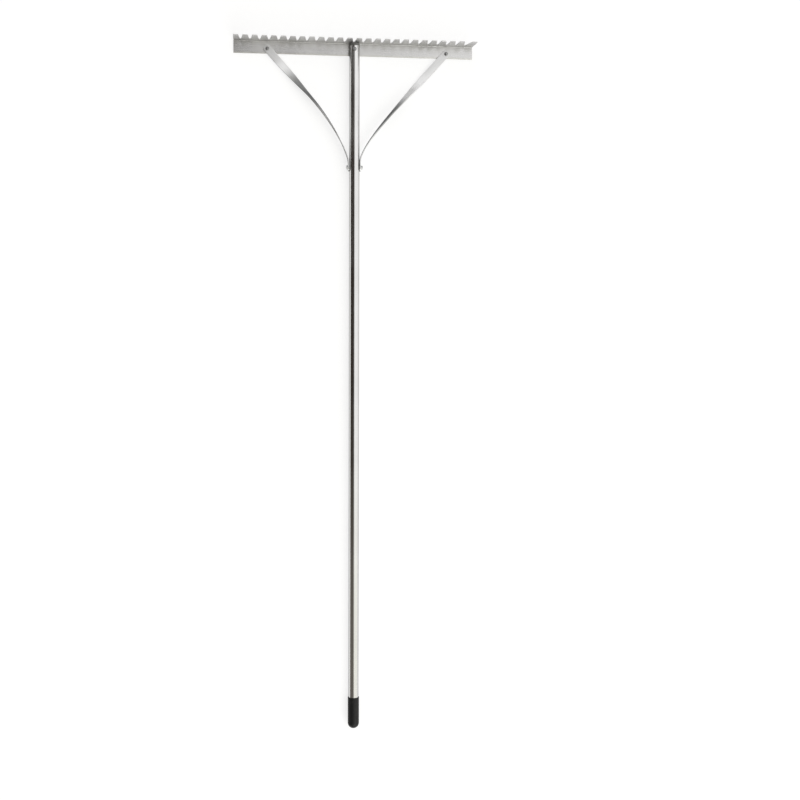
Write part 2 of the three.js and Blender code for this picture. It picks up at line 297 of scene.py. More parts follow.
def ranged(tree, value, fromLow, fromHigh, toLow, toHigh, smooth=False):
    kind = "SMOOTHSTEP" if smooth else "LINEAR"
    node = addNode(tree, "ShaderNodeMapRange", {"interpolation_type": kind})
    feedAll(tree, node, dict(enumerate((value, fromLow, fromHigh, toLow, toHigh))))
    return node.outputs[0]


def blended(tree, factor, first, second):
    node = addNode(tree, "ShaderNodeMix", {"data_type": "RGBA"})
    feedAll(tree, node, {0: factor, 6: first, 7: second})
    return node.outputs[2]


def grey(level, warmth=0.0):
    return (level * (1 + warmth), level, level * (1 - warmth), 1)


def makeMetal(shader, edgeTint):
    shader.inputs["Metallic"].default_value = 1.0
    shader.inputs["Specular Tint"].default_value = grey(edgeTint)


def addBump(tree, shader, looks, height):
    bump = addNode(tree, "ShaderNodeBump", Strength=looks["bump"], Distance=looks["bumpDepth"], Height=height)
    feed(tree, shader, "Normal", bump)


# Drawn or rolled aluminium: fine lines along one axis, cloudy tone, a few long scratches, and where a shade
# attribute is given, painted shade that darkens the colour
def aluminium(name, looks, attribute=None, paintedShadeAttribute=None):
    material, tree, shader = newMaterial(name)
    place = surfacePlace(tree, attribute)

    def lined(alongShare, acrossShare, noise):
        scale = [looks["acrossScale"] * acrossShare] * 3
        scale[looks["axis"]] = looks["alongScale"] * alongShare
        return stretchedNoise(tree, place, scale, *noise)

    lines = lined(1.0, 1.0, looks["lineNoise"])
    cloud = stretchedNoise(tree, place, [looks["cloudScale"]] * 3, *looks["cloudNoise"])
    marks = lined(*looks["scratchShares"], looks["scratchNoise"])
    scratches = ranged(tree, marks, *looks["scratchBand"], 0.0, 1.0)
    tone = ranged(tree, cloud, *looks["cloudBand"], 0.0, 1.0)
    low, high = (grey(looks[key], looks["warmth"]) for key in ("toneLow", "toneHigh"))
    streak = ranged(tree, lines, *looks["streakBand"], 1 - looks["streak"], 1.0)
    streaked = scaled(tree, blended(tree, tone, low, high), streak)
    colour = blended(tree, scratches, streaked, grey(looks["toneHigh"]))
    rough = ranged(tree, lines, *looks["roughBand"], looks["roughLow"], looks["roughHigh"])
    rough = plus(tree, rough, ranged(tree, cloud, *looks["cloudBand"], *looks["roughPatches"]))
    rough = plus(tree, rough, times(tree, scratches, looks["scratchRough"]))
    if "wornFrom" in looks:
        height = addNode(tree, "ShaderNodeSeparateXYZ", Vector=place).outputs["Z"]
        worn = ranged(tree, height, looks["wornFrom"], looks["wornTo"], 0.0, looks["wornRough"], smooth=True)
        rough = plus(tree, rough, worn)
    # Painted shade: the attribute darkens the colour where the strap twists, standing in for the dark
    # reflection there, and adds a little roughness
    if paintedShadeAttribute:
        strain = addNode(tree, "ShaderNodeAttribute", {"attribute_name": paintedShadeAttribute}).outputs["Fac"]
        colour = scaled(tree, colour, ranged(tree, strain, 0.0, 1.0, 1.0, looks["paintedShadeTone"]))
        rough = plus(tree, rough, times(tree, strain, looks["shadeBandRough"]))
    makeMetal(shader, looks["edgeTint"])
    feed(tree, shader, "Base Color", colour)
    feed(tree, shader, "Roughness", rough)
    addBump(tree, shader, looks, minus(tree, lines, times(tree, scratches, looks["scratchDepth"])))
    return material


# What the three aluminium finishes share, then each one's own values
aluminiumLooks = {
    "lineNoise": (4.0, 0.65), "cloudNoise": (3.0, 0.5), "scratchNoise": (1.0, 0.3),
    "scratchShares": (0.6, 0.35), "scratchBand": (0.70, 0.76), "scratchRough": 0.12, "scratchDepth": 0.5,
    "cloudBand": (0.3, 0.7), "streakBand": (0.35, 0.65), "roughBand": (0.3, 0.7),
    "roughPatches": (-0.03, 0.05), "bumpDepth": 0.02 * mm,
}
headLooks = {
    **aluminiumLooks, "axis": 0, "alongScale": 6.0, "acrossScale": 900.0, "cloudScale": 14.0,
    "toneLow": 0.70, "toneHigh": 0.79, "warmth": 0.004, "streak": 0.08, "roughLow": 0.24, "roughHigh": 0.31,
    "bump": 0.12, "edgeTint": 0.45, "wornFrom": 3 * mm, "wornTo": 20 * mm, "wornRough": 0.20,
}
tubeLooks = {
    **aluminiumLooks, "axis": 1, "alongScale": 3.0, "acrossScale": 1300.0, "cloudScale": 7.0,
    "toneLow": 0.66, "toneHigh": 0.73, "warmth": 0.006, "streak": 0.08, "roughLow": 0.13, "roughHigh": 0.20,
    "bump": 0.18, "edgeTint": 0.30,
}
# The strap's last two values set how far the painted shade at the twist darkens its colour, and the roughness
# added there
strapLooks = {
    **aluminiumLooks, "axis": 0, "alongScale": 8.0, "acrossScale": 1100.0, "cloudScale": 22.0,
    "toneLow": 0.76, "toneHigh": 0.84, "warmth": -0.004, "streak": 0.07, "roughLow": 0.34, "roughHigh": 0.42,
    "bump": 0.35, "edgeTint": 0.05, "paintedShadeTone": 0.42, "shadeBandRough": 0.04,
}
headFinish = aluminium("millFinishAluminium", headLooks)
tubeFinish = aluminium("drawnTubeAluminium", tubeLooks)
# The strap's finish reads the painted shade attribute that the laying tree stores at the twist
strapFinish = aluminium("rolledStrapAluminium", strapLooks, "flatPlace", "strain")


# Zinc plating: small crystals in slightly different tones, with a faint cool cast on the darker ones
def zincPlate(name, looks):
    material, tree, shader = newMaterial(name)
    place = surfacePlace(tree)
    cells = addNode(tree, "ShaderNodeTexVoronoi", Vector=place, Scale=looks["grain"])
    cloud = stretchedNoise(tree, place, [looks["cloud"]] * 3)
    sparkle = addNode(tree, "ShaderNodeSeparateColor", Color=cells.outputs["Color"]).outputs[0]
    tone = times(tree, plus(tree, sparkle, cloud), 0.5)
    feed(tree, shader, "Base Color", blended(tree, tone, grey(*looks["darkTone"]), grey(*looks["paleTone"])))
    makeMetal(shader, looks["edgeTint"])
    rough = ranged(tree, tone, *looks["roughBand"], looks["roughLow"], looks["roughHigh"])
    feed(tree, shader, "Roughness", rough)
    addBump(tree, shader, looks, cloud)
    return material


# Dark plastics: a fine moulded grain, faint greyer scuffs and a little unevenness
def darkPlastic(name, looks):
    material, tree, shader = newMaterial(name)
    place = surfacePlace(tree)
    grain = stretchedNoise(tree, place, [looks["grain"]] * 3, *looks["grainNoise"])
    cloud = stretchedNoise(tree, place, [looks["cloud"]] * 3, *looks["cloudNoise"])
    scuffs = ranged(tree, cloud, *looks["scuffBand"], 0.0, looks["scuff"])
    worn = blended(tree, scuffs, looks["colour"], looks["wornColour"])
    tone = ranged(tree, grain, *looks["grainBand"], *looks["grainTone"])
    feed(tree, shader, "Base Color", scaled(tree, worn, tone))
    rough = ranged(tree, grain, *looks["grainBand"], looks["roughLow"], looks["roughHigh"])
    feed(tree, shader, "Roughness", plus(tree, rough, times(tree, scuffs, looks["scuffRough"])))
    shader.inputs["Specular IOR Level"].default_value = looks["gloss"]
    addBump(tree, shader, looks, grain)
    return material


zincFinish = zincPlate("zincPlate", {
    "grain": 1400.0, "cloud": 420.0, "darkTone": (0.36, -0.02), "paleTone": (0.50, 0.01), "edgeTint": 0.4,
    "roughBand": (0.2, 0.8), "roughLow": 0.28, "roughHigh": 0.42, "bump": 0.2, "bumpDepth": 0.03 * mm,
})
plasticLooks = {
    "grainNoise": (2.0, 0.55), "cloudNoise": (4.0, 0.6), "scuffBand": (0.52, 0.78), "scuffRough": 0.3,
    "grainBand": (0.3, 0.7), "grainTone": (0.82, 1.12), "bumpDepth": 0.05 * mm,
}
vinylFinish = darkPlastic("dippedVinyl", {
    **plasticLooks, "grain": 900.0, "cloud": 60.0, "scuff": 0.35, "colour": (0.0095, 0.0097, 0.0100, 1),
    "wornColour": (0.048, 0.047, 0.045, 1), "roughLow": 0.40, "roughHigh": 0.52, "bump": 0.35, "gloss": 0.2,
})
plugFinish = darkPlastic("mouldedPlug", {
    **plasticLooks, "grain": 1500.0, "cloud": 110.0, "scuff": 0.25, "colour": (0.150, 0.149, 0.145, 1),
    "wornColour": (0.24, 0.24, 0.23, 1), "roughLow": 0.42, "roughHigh": 0.56, "bump": 0.4, "gloss": 0.5,
})
nylonFinish = darkPlastic("nutNylon", {
    **plasticLooks, "grain": 2600.0, "cloud": 500.0, "scuff": 0.2, "colour": (0.022, 0.028, 0.045, 1),
    "wornColour": (0.08, 0.09, 0.12, 1), "roughLow": 0.45, "roughHigh": 0.55, "bump": 0.2, "gloss": 0.5,
})
print("finishes made")


# Head bar: an extruded angle whose teeth and screw seats are cut by a node tree
head = {
    "length": 652 * mm, "flange": 60 * mm, "web": 36 * mm, "wall": 3 * mm, "innerFillet": 0.6 * mm,
    "outerRadius": 0.4 * mm, "bevelHeight": 5 * mm, "edge": 1.2 * mm, "pitch": 25.4 * mm, "tipWidth": 13 * mm,
    "toothLength": 41 * mm, "rootRadius": 2.1 * mm, "rootWidthShare": 0.98, "rootRoundShare": 0.93,
    "rootSteps": 7, "splay": 5 * mm, "seatRadius": 5.1 * mm, "seatSteps": 64, "overrun": 2 * mm,
    "softening": 0.22 * mm, "softSegments": 2, "softAngle": 28,
}
headLeft = handleX - head["length"] / 2
headRight = handleX + head["length"] / 2


def angleBlank():
    wall, web, flange = head["wall"], head["web"], head["flange"]
    inner, outer = head["innerFillet"], head["outerRadius"]
    # Section in (depth from the flange's face, height): web, inner corner, flange, outer corner
    section = [(-web, 0.0), (-web, head["edge"]), (-web + head["bevelHeight"], wall)]
    section += arcProfile((-wall - inner, wall + inner), inner, -90, 0, 5)
    section += [(-wall, flange), (0.0, flange)]
    section += arcProfile((-outer, outer), outer, 0, -90, 4)
    points, faces = [], []
    for depth, height in section:
        lean = head["splay"] * height / flange if height > wall + inner else 0.0
        points.append((headLeft, flangeFace + depth, height))
        points.append((headRight + lean, flangeFace + depth, height))
    count = len(section)
    for row in range(count):
        after = (row + 1) % count
        faces.append((2 * row, 2 * row + 1, 2 * after + 1, 2 * after))
    faces.append([2 * row for row in range(count)])
    faces.append([2 * row + 1 for row in reversed(range(count))])
    return meshFrom("angleBlank", points, faces)


def screwSeats():
    seat, hole, past = head["seatRadius"], holes["screw"], head["overrun"]
    top = head["wall"] + past
    cone = turnedMesh("screwSeat", [
        (0, -past), (seat + past, -past), (hole, seat - hole), (hole, top), (0, top),
    ], head["seatSteps"])
    points, faces = [], []
    for name in screwNames:
        place = middle(name + "_washer")
        start = len(points)
        points += [vertex.co + Vector((place.x, place.y, 0)) for vertex in cone.vertices]
        faces += [[start + index for index in face.vertices] for face in cone.polygons]
    bpy.data.meshes.remove(cone)
    return helperObject("screwSeats", meshFrom("screwSeats", points, faces))


# Every gap is alike but the last, which leans out with the splayed tooth at the right end
def gapSizes():
    pitch, past = head["pitch"], head["overrun"]
    mouth = pitch - head["tipWidth"]
    taper = (mouth / 2 - head["rootRadius"]) / head["toothLength"]
    depth = head["toothLength"] + past
    count = int((head["length"] - head["tipWidth"]) // pitch)
    firstX = headLeft + pitch - mouth / 2
    lastX = firstX + (count - 1) * pitch
    lastMouthEnd = headRight + head["splay"] - head["tipWidth"]
    startY, middleZ = flangeFace + head["wall"], head["flange"] + past - depth / 2
    return {
        "Gap Count": count - 1, "Pitch": pitch, "First Gap": (firstX, startY, middleZ),
        "Last Gap": (lastX, startY, middleZ), "Mouth": mouth + 2 * taper * past, "Root": head["rootRadius"],
        "Depth": depth, "Lean": (lastMouthEnd - lastX - mouth / 2) / 2, "Cut Length": 3 * head["wall"],
    }


def toothTree():
    tree, inlet, outlet = newTree("cutTeeth", [
        ("Gap Count", "Int"), ("Pitch", "Float"), ("First Gap", "Vector"), ("Last Gap", "Vector"),
        ("Mouth", "Float"), ("Root", "Float"), ("Depth", "Float"), ("Lean", "Float"),
        ("Cut Length", "Float"), ("Seats", "Object"), ("Material", "Material"),
    ])
    sizes = inlet.outputs

    # The gap's outline is drawn flat, rounded at its root, made a closed block and stood upright
    def gapCutter(mouth, lean):
        outline = addNode(tree, "GeometryNodeCurvePrimitiveQuadrilateral", {"mode": "TRAPEZOID"})
        feedAll(tree, outline, {
            "Height": sizes["Depth"], "Top Width": mouth, "Offset": lean,
            "Bottom Width": times(tree, sizes["Root"], 2 * head["rootWidthShare"]),
        })
        corner = addNode(tree, "ShaderNodeSeparateXYZ", Vector=addNode(tree, "GeometryNodeInputPosition"))
        isRoot = mathNode(tree, "LESS_THAN", corner.outputs["Y"], 0.0)
        radius = times(tree, times(tree, sizes["Root"], head["rootRoundShare"]), isRoot)
        rounded = addNode(tree, "GeometryNodeFilletCurve", {"mode": "POLY"}, Curve=outline,
                          Count=head["rootSteps"], Radius=radius)
        sheet = addNode(tree, "GeometryNodeFillCurve", {"mode": "NGONS"}, Curve=rounded)
        block = addNode(tree, "GeometryNodeExtrudeMesh", {"mode": "FACES"}, Mesh=sheet, Individual=False)
        feed(tree, block, "Offset Scale", sizes["Cut Length"])
        closed = joinParts(tree, addNode(tree, "GeometryNodeFlipFaces", Mesh=sheet), block)
        welded = addNode(tree, "GeometryNodeMergeByDistance", Geometry=closed, Distance=sliverLength)
        return addNode(tree, "GeometryNodeTransform", Geometry=welded, Rotation=Euler((math.pi / 2, 0, 0)))

    rowOfGaps = addNode(tree, "GeometryNodeMeshLine", {"mode": "OFFSET"}, Count=sizes["Gap Count"])
    step = addNode(tree, "ShaderNodeCombineXYZ", X=sizes["Pitch"])
    feedAll(tree, rowOfGaps, {"Start Location": sizes["First Gap"], "Offset": step})
    cutter = gapCutter(sizes["Mouth"], 0.0)
    regular = addNode(tree, "GeometryNodeInstanceOnPoints", Points=rowOfGaps, Instance=cutter)
    lastMouth = plus(tree, sizes["Mouth"], times(tree, sizes["Lean"], 2.0))
    lastCutter = addNode(tree, "GeometryNodeTransform", Geometry=gapCutter(lastMouth, sizes["Lean"]),
                         Translation=sizes["Last Gap"])
    seats = addNode(tree, "GeometryNodeObjectInfo", {"transform_space": "RELATIVE"}, Object=sizes["Seats"])
    cutters = joinParts(tree, regular, lastCutter, seats.outputs["Geometry"])
    solid = addNode(tree, "GeometryNodeRealizeInstances", Geometry=cutters)
    cutOut = addNode(tree, "GeometryNodeMeshBoolean", {"operation": "DIFFERENCE", "solver": "EXACT"})
    feedAll(tree, cutOut, {"Mesh 1": sizes["Geometry"], "Mesh 2": solid})
    closeTree(tree, cutOut, sizes["Material"], outlet)
    return tree


def buildHead():
    blank = helperObject("angleBlank", angleBlank())
    seats = screwSeats()
    runTree(blank, toothTree(), {**gapSizes(), "Seats": seats, "Material": headFinish})
    soften(blank, head)
    mesh = finishMesh(bakedMesh(blank, "headBar"))
    for helper in (blank, seats):
        dropHelper(helper)
    return showPiece("headBar", mesh, "bare_aluminium", "head_bar")


headPiece = buildHead()
print("head bar:", len(headPiece.data.polygons), "faces")


# Braces: a flat blank with round ends and two holes, laid along its path by a node tree
brace = {
    "width": 20 * mm, "thickness": 3 * mm, "endMargin": 11 * mm, "angle": math.radians(47.7),
    "seatGap": 0.1 * mm, "endRun": 14 * mm, "flatRun": 26 * mm, "backHandle": 10 * mm, "endHandle": 4 * mm,
    "pathSteps": 64, "patchLength": 22 * mm, "ringShares": (0.0, 0.3, 0.65, 1.0), "columns": 8,
    "sideRows": 5, "roundSteps": 24, "rowLength": 2.5 * mm,
    "softening": 0.55 * mm, "softSegments": 3, "softAngle": 50,
}
# The last four shares of each side set where along the run the painted shade at the twist rises and fades
braceSides = {
    "left": {
        "side": -1, "straightShare": 0.491, "leadShare": 0.387, "trail": 10 * mm, "riseShare": 0.718,
        "earlyTwist": math.radians(66), "earlyShare": 0.567, "paintedShadeShares": (0.16, 0.40, 0.50, 0.74),
    },
    "right": {
        "side": 1, "straightShare": 0.479, "leadShare": 0.32, "trail": 30 * mm, "riseShare": 0.831,
        "earlyTwist": math.radians(72), "earlyShare": 0.68, "paintedShadeShares": (0.40, 0.60, 0.68, 0.92),
    },
}


# The path lies on the floor: straight from the screw, one bend, straight along the tube to the bolt
def bracePath(name, way):
    screwPoint = middle(name + "_brace_washer")
    screwPoint.z = 0
    side = way["side"]
    aim = Vector((-side * math.cos(brace["angle"]), -math.sin(brace["angle"]), 0))
    along = Vector((0, 1, 0))
    offset = tubeRadius + brace["seatGap"] + brace["thickness"] / 2
    boltPoint = Vector((handleX + side * offset, middle("brace_bolt").y, 0))
    run = abs(screwPoint.x - boltPoint.x) / math.cos(brace["angle"])
    bendStart = screwPoint + aim * way["straightShare"] * run
    bendEnd = boltPoint + along * brace["endRun"]
    knots = [
        (screwPoint - aim * brace["endMargin"], None, None),
        (bendStart, bendStart - aim * brace["backHandle"], bendStart + aim * way["leadShare"] * run),
        (bendEnd, bendEnd + along * way["trail"], bendEnd - along * brace["endHandle"]),
        (boltPoint - along * brace["endMargin"], None, None),
    ]
    curve = bpy.data.curves.new(name + "BracePath", "CURVE")
    curve.dimensions = "3D"
    curve.resolution_u = brace["pathSteps"]
    spline = curve.splines.new("BEZIER")
    spline.bezier_points.add(len(knots) - 1)
    for point, (place, back, ahead) in zip(spline.bezier_points, knots):
        point.co = place
        point.handle_left_type = point.handle_right_type = "FREE" if back else "VECTOR"
        if back:
            point.handle_left = back
            point.handle_right = ahead
    path = helperObject(name + "BracePath", curve)
    bpy.context.view_layer.update()
    return path, spline.calc_length(), run


# Rings of points from the hole to the edge of a strap's round end, which lies at x = 0
def endRings(hole):
    half, patch, margin = brace["width"] / 2, brace["patchLength"], brace["endMargin"]
    columns, sideRows = brace["columns"], brace["sideRows"]
    outline = [(patch, -half + brace["width"] * step / columns) for step in range(columns)]
    outline += [(patch - (patch - half) * step / sideRows, half) for step in range(sideRows)]
    outline += arcProfile((half, 0), half, 90, 270, brace["roundSteps"])[:-1]
    outline += [(half + (patch - half) * step / sideRows, -half) for step in range(sideRows)]
    rings = []
    for share in brace["ringShares"]:
        ring = []
        for x, y in outline:
            angle = math.atan2(y, x - margin)
            rimX, rimY = margin + hole * math.cos(angle), hole * math.sin(angle)
            ring.append((rimX + (x - rimX) * share, rimY + (y - rimY) * share))
        rings.append(ring)
    return rings


def strapBlank(length):
    half, columns, patch = brace["width"] / 2, brace["columns"], brace["patchLength"]
    points, faces = [], []
    for hole, farEnd in ((holes["screw"], False), (holes["bolt"], True)):
        rings = endRings(hole)
        start, count = len(points), len(rings[0])
        for ring in rings:
            points += [(length - x, -y, 0) if farEnd else (x, y, 0) for x, y in ring]
        for row in range(len(rings) - 1):
            low, high = start + row * count, start + (row + 1) * count
            for step in range(count):
                after = (step + 1) % count
                faces.append((low + step, high + step, high + after, low + after))
    body = length - 2 * patch
    bodyRows = int(body / brace["rowLength"])
    start = len(points)
    for row in range(bodyRows + 1):
        x = patch + body * row / bodyRows
        points += [(x, -half + brace["width"] * step / columns, 0) for step in range(columns + 1)]
    for row in range(bodyRows):
        for step in range(columns):
            corner = start + row * (columns + 1) + step
            faces.append((corner, corner + columns + 1, corner + columns + 2, corner + 1))
    return meshFrom("strapBlank", points, faces)


def storedValue(tree, geometry, name, kind, value):
    settings = {"data_type": kind, "domain": "POINT"}
    return addNode(tree, "GeometryNodeStoreNamedAttribute", settings, Geometry=geometry, Name=name,
                   Value=value)


# The flat blank's X is the way along the path, its Y the strap's width and its Z the thickness
def layTree():
    tree, inlet, outlet = newTree("layStrap", [
        ("Path", "Object"), ("Side", "Float"), ("End Margin", "Float"), ("Flat Run", "Float"),
        ("Rise End", "Float"), ("Early Twist", "Float"), ("Early End", "Float"), ("Late End", "Float"),
        ("Low Height", "Float"), ("Rise", "Float"), ("Strain Start", "Float"), ("Strain Full", "Float"),
        ("Strain Fading", "Float"), ("Strain End", "Float"), ("Material", "Material"),
    ])
    sizes = inlet.outputs
    place = addNode(tree, "GeometryNodeInputPosition")
    parts = addNode(tree, "ShaderNodeSeparateXYZ", Vector=place).outputs
    kept = storedValue(tree, sizes["Geometry"], "flatPlace", "FLOAT_VECTOR", place)
    # A share kept on each point marks where the strap twists, for the finish's painted shade, which darkens
    # the colour there as a painted dark reflection
    run = minus(tree, parts["X"], sizes["End Margin"])
    grown = ranged(tree, run, sizes["Strain Start"], sizes["Strain Full"], 0.0, 1.0, smooth=True)
    faded = ranged(tree, run, sizes["Strain Fading"], sizes["Strain End"], 1.0, 0.0, smooth=True)
    shadeStored = storedValue(tree, kept, "strain", "FLOAT", mathNode(tree, "MINIMUM", grown, faded))

    path = addNode(tree, "GeometryNodeObjectInfo", {"transform_space": "RELATIVE"}, Object=sizes["Path"])
    sample = addNode(tree, "GeometryNodeSampleCurve", {"mode": "LENGTH", "use_all_curves": True},
                     Curves=path.outputs["Geometry"], Length=parts["X"]).outputs
    flat = addNode(tree, "ShaderNodeSeparateXYZ", Vector=sample["Tangent"]).outputs
    ground = addNode(tree, "ShaderNodeSeparateXYZ", Vector=sample["Position"]).outputs

    # The height eases from low to high by 3s^2 - 2s^3 of the share s passed, so its slope goes by 6s(1 - s)
    span = minus(tree, sizes["Rise End"], sizes["Flat Run"])
    share = mathNode(tree, "DIVIDE", minus(tree, run, sizes["Flat Run"]), span, clamp=True)
    eased = times(tree, times(tree, share, share), minus(tree, 3.0, times(tree, share, 2.0)))
    height = plus(tree, sizes["Low Height"], times(tree, sizes["Rise"], eased))
    steep = times(tree, times(tree, share, minus(tree, 1.0, share)), 6.0)
    slope = mathNode(tree, "DIVIDE", times(tree, steep, sizes["Rise"]), span)

    early = ranged(tree, run, sizes["Flat Run"], sizes["Early End"], 0.0, sizes["Early Twist"], smooth=True)
    rest = minus(tree, math.pi / 2, sizes["Early Twist"])
    twist = plus(tree, early, ranged(tree, run, sizes["Early End"], sizes["Late End"], 0.0, rest))

    climbing = addNode(tree, "ShaderNodeCombineXYZ", X=flat["X"], Y=flat["Y"], Z=slope)
    tangent = vectorNode(tree, "NORMALIZE", climbing)
    crosswise = addNode(tree, "ShaderNodeCombineXYZ", X=flat["Y"], Y=times(tree, flat["X"], -1.0))
    inward = vectorNode(tree, "NORMALIZE", scaled(tree, crosswise, sizes["Side"]))
    up = scaled(tree, vectorNode(tree, "CROSS_PRODUCT", inward, tangent), sizes["Side"])
    face = vectorNode(tree, "ADD", scaled(tree, up, mathNode(tree, "COSINE", twist)),
                      scaled(tree, inward, mathNode(tree, "SINE", twist)))
    sideways = vectorNode(tree, "CROSS_PRODUCT", tangent, face)
    centre = addNode(tree, "ShaderNodeCombineXYZ", X=ground["X"], Y=ground["Y"], Z=height)
    moved = vectorNode(tree, "ADD", centre, scaled(tree, sideways, parts["Y"]))
    moved = vectorNode(tree, "ADD", moved, scaled(tree, face, parts["Z"]))
    laid = addNode(tree, "GeometryNodeSetPosition", Geometry=shadeStored, Position=moved)
    closeTree(tree, laid, sizes["Material"], outlet)
    return tree


strapTree = layTree()


def buildBrace(name, way):
    path, length, run = bracePath(name, way)
    blank = helperObject(name + "StrapBlank", strapBlank(length))
    thicken = blank.modifiers.new("thickness", "SOLIDIFY")
    thicken.thickness = brace["thickness"]
    thicken.offset = 0
    soften(blank, brace)
    low = head["wall"] + brace["thickness"] / 2
    # Where the painted shade at the twist rises and fades, as shares of the run
    paintedShadeNames = ("Strain Start", "Strain Full", "Strain Fading", "Strain End")
    runTree(blank, strapTree, {
        **{label: run * share for label, share in zip(paintedShadeNames, way["paintedShadeShares"])},
        "Path": path, "Side": float(way["side"]), "End Margin": brace["endMargin"],
        "Flat Run": brace["flatRun"], "Rise End": run * way["riseShare"], "Early Twist": way["earlyTwist"],
        "Early End": run * way["earlyShare"], "Late End": length - 2 * brace["endMargin"] - brace["endRun"],
        "Low Height": low, "Rise": handleZ - low, "Material": strapFinish,
    })
    mesh = bakedMesh(blank, name + "Brace")
    repairMesh(mesh)
    mesh = finishMesh(mesh)
    for helper in (blank, path):
        dropHelper(helper)
    return showPiece(name + "Brace", mesh, "bare_aluminium", name + "_brace")


for name, way in braceSides.items():
    piece = buildBrace(name, way)
    print(name, "brace:", len(piece.data.polygons), "faces")


# Handle tube, with the holes for the screw and the brace bolt
tube = {"wall": 1.5 * mm, "edge": 0.25 * mm, "sides": 144, "rows": 24, "drillPast": 4 * mm, "drillSteps": 48}


# Lays a mesh that was turned about Z along the handle's axis, and gives it its finish
def alongHandle(mesh, start, finish):
    mesh.transform(Matrix.Translation((handleX, start, handleZ)) @ Matrix.Rotation(-math.pi / 2, 4, "X"))
    mesh.materials.append(finish)
    return mesh


def buildTube():
    inner, outer, edge, rows = tubeRadius - tube["wall"], tubeRadius, tube["edge"], tube["rows"]
    length = tubeBox[1].y - tubeBox[0].y
    heights = [edge + (length - 2 * edge) * row / rows for row in range(rows + 1)]
    profile = [(outer - edge, 0)] + [(outer, height) for height in heights]
    profile += [(outer - edge, length), (inner + edge, length)]
    profile += [(inner, height) for height in reversed(heights)] + [(inner + edge, 0)]
    mesh = turnedMesh("handleTube", profile, tube["sides"], closed=True)
    pipe = helperObject("pipe", alongHandle(mesh, tubeBox[0].y, tubeFinish))
    reach = tubeRadius + tube["drillPast"]
    drills = []
    for radius, turn, node in (
        (holes["screw"], Matrix.Identity(4), "handle_washer"),
        (holes["bolt"], Matrix.Rotation(math.pi / 2, 4, "Y"), "brace_bolt"),
    ):
        rodProfile = [(0, -reach), (radius, -reach), (radius, reach), (0, reach)]
        rod = turnedMesh("drill", rodProfile, tube["drillSteps"])
        rod.transform(Matrix.Translation((handleX, middle(node).y, handleZ)) @ turn)
        drill = helperObject("drill", rod)
        drills.append(drill)
        cutHole = pipe.modifiers.new("hole", "BOOLEAN")
        cutHole.object = drill
        cutHole.operation = "DIFFERENCE"
        cutHole.solver = "EXACT"
    mesh = finishMesh(bakedMesh(pipe, "handleTubeMesh"))
    for helper in (pipe, *drills):
        dropHelper(helper)
    return showPiece("handleTube", mesh, "drawn_aluminium", "handle_tube")


tubePiece = buildTube()
print("handle tube:", len(tubePiece.data.polygons), "faces")


# End plug: a head with a shallow dish, and a hollow shank with ribs that grip the bore
plug = {
    "head": 8 * mm, "shank": 7 * mm, "shankWall": 2 * mm, "fit": 0.2 * mm, "edge": 0.8 * mm, "ribs": 2,
    "ribHeight": 0.5 * mm, "ribShares": (0.5, 0.56, 0.6), "hollowChamfer": 0.5 * mm,
    "seatChamfer": 0.15 * mm, "dishShare": 0.5, "dishRimShare": 0.55, "dishDepth": 0.2 * mm, "steps": 120,
}


def buildPlug():
    bore = tubeRadius - tube["wall"] - plug["fit"]
    shank = bore - plug["ribHeight"]
    hollow = shank - plug["shankWall"]
    seat, top = plug["shank"], plug["shank"] + plug["head"]
    chamfer, seatEdge, edge = plug["hollowChamfer"], plug["seatChamfer"], plug["edge"]
    pitch = seat / plug["ribs"]
    profile = [(0, seat), (hollow - chamfer, seat), (hollow, seat - chamfer), (hollow, 0.0)]
    for rib in range(plug["ribs"]):
        foot = rib * pitch
        climb, crest, fall = (foot + pitch * share for share in plug["ribShares"])
        profile += [(shank, foot), (bore, climb), (bore, crest), (shank, fall)]
    profile += [(shank, seat), (tubeRadius - seatEdge, seat), (tubeRadius, seat + seatEdge)]
    profile += arcProfile((tubeRadius - edge, top - edge), edge, 0, 90, 6)
    dish = top - plug["dishDepth"]
    profile += [(tubeRadius * plug["dishRimShare"], top), (tubeRadius * plug["dishShare"], dish), (0, dish)]
    mesh = alongHandle(turnedMesh("tubeEndPlug", profile, plug["steps"]), plugBox[1].y - top, plugFinish)
    return showPiece("tubeEndPlug", finishMesh(mesh), "grey_plastic", "tube_end_plug")


# Grip cap: a sleeve with a half ball for a nose
grip = {
    "wall": 1.5 * mm, "fit": 0.1 * mm, "noseWall": 3.5 * mm, "noseGap": 0.3 * mm, "rim": 0.5 * mm,
    "lip": 0.15 * mm, "rows": 12, "steps": 120, "smoothAngle": 40,
}


def buildGrip():
    bore = tubeRadius + grip["fit"]
    outer = bore + grip["wall"]
    rim, lip, rows = grip["rim"], grip["lip"], grip["rows"]
    top = gripBox[1].y - gripBox[0].y
    straight = top - outer - rim
    profile = arcProfile((0, outer), outer, -90, -5, 17)
    profile += [(outer, outer + straight * row / rows) for row in range(rows + 1)]
    profile += arcProfile((outer - rim, top - rim), rim, 15, 90, 5)
    profile += [(bore + lip, top), (bore, top - lip), (bore, outer + grip["noseGap"])]
    profile += arcProfile((0, outer), outer - grip["noseWall"], 0, -90, 9)
    mesh = alongHandle(turnedMesh("gripCap", profile, grip["steps"]), gripBox[0].y, vinylFinish)
    return showPiece("gripCap", finishMesh(mesh, grip["smoothAngle"]), "black_vinyl", "grip_cap")


buildPlug()
buildGrip()
print("plug and grip made")


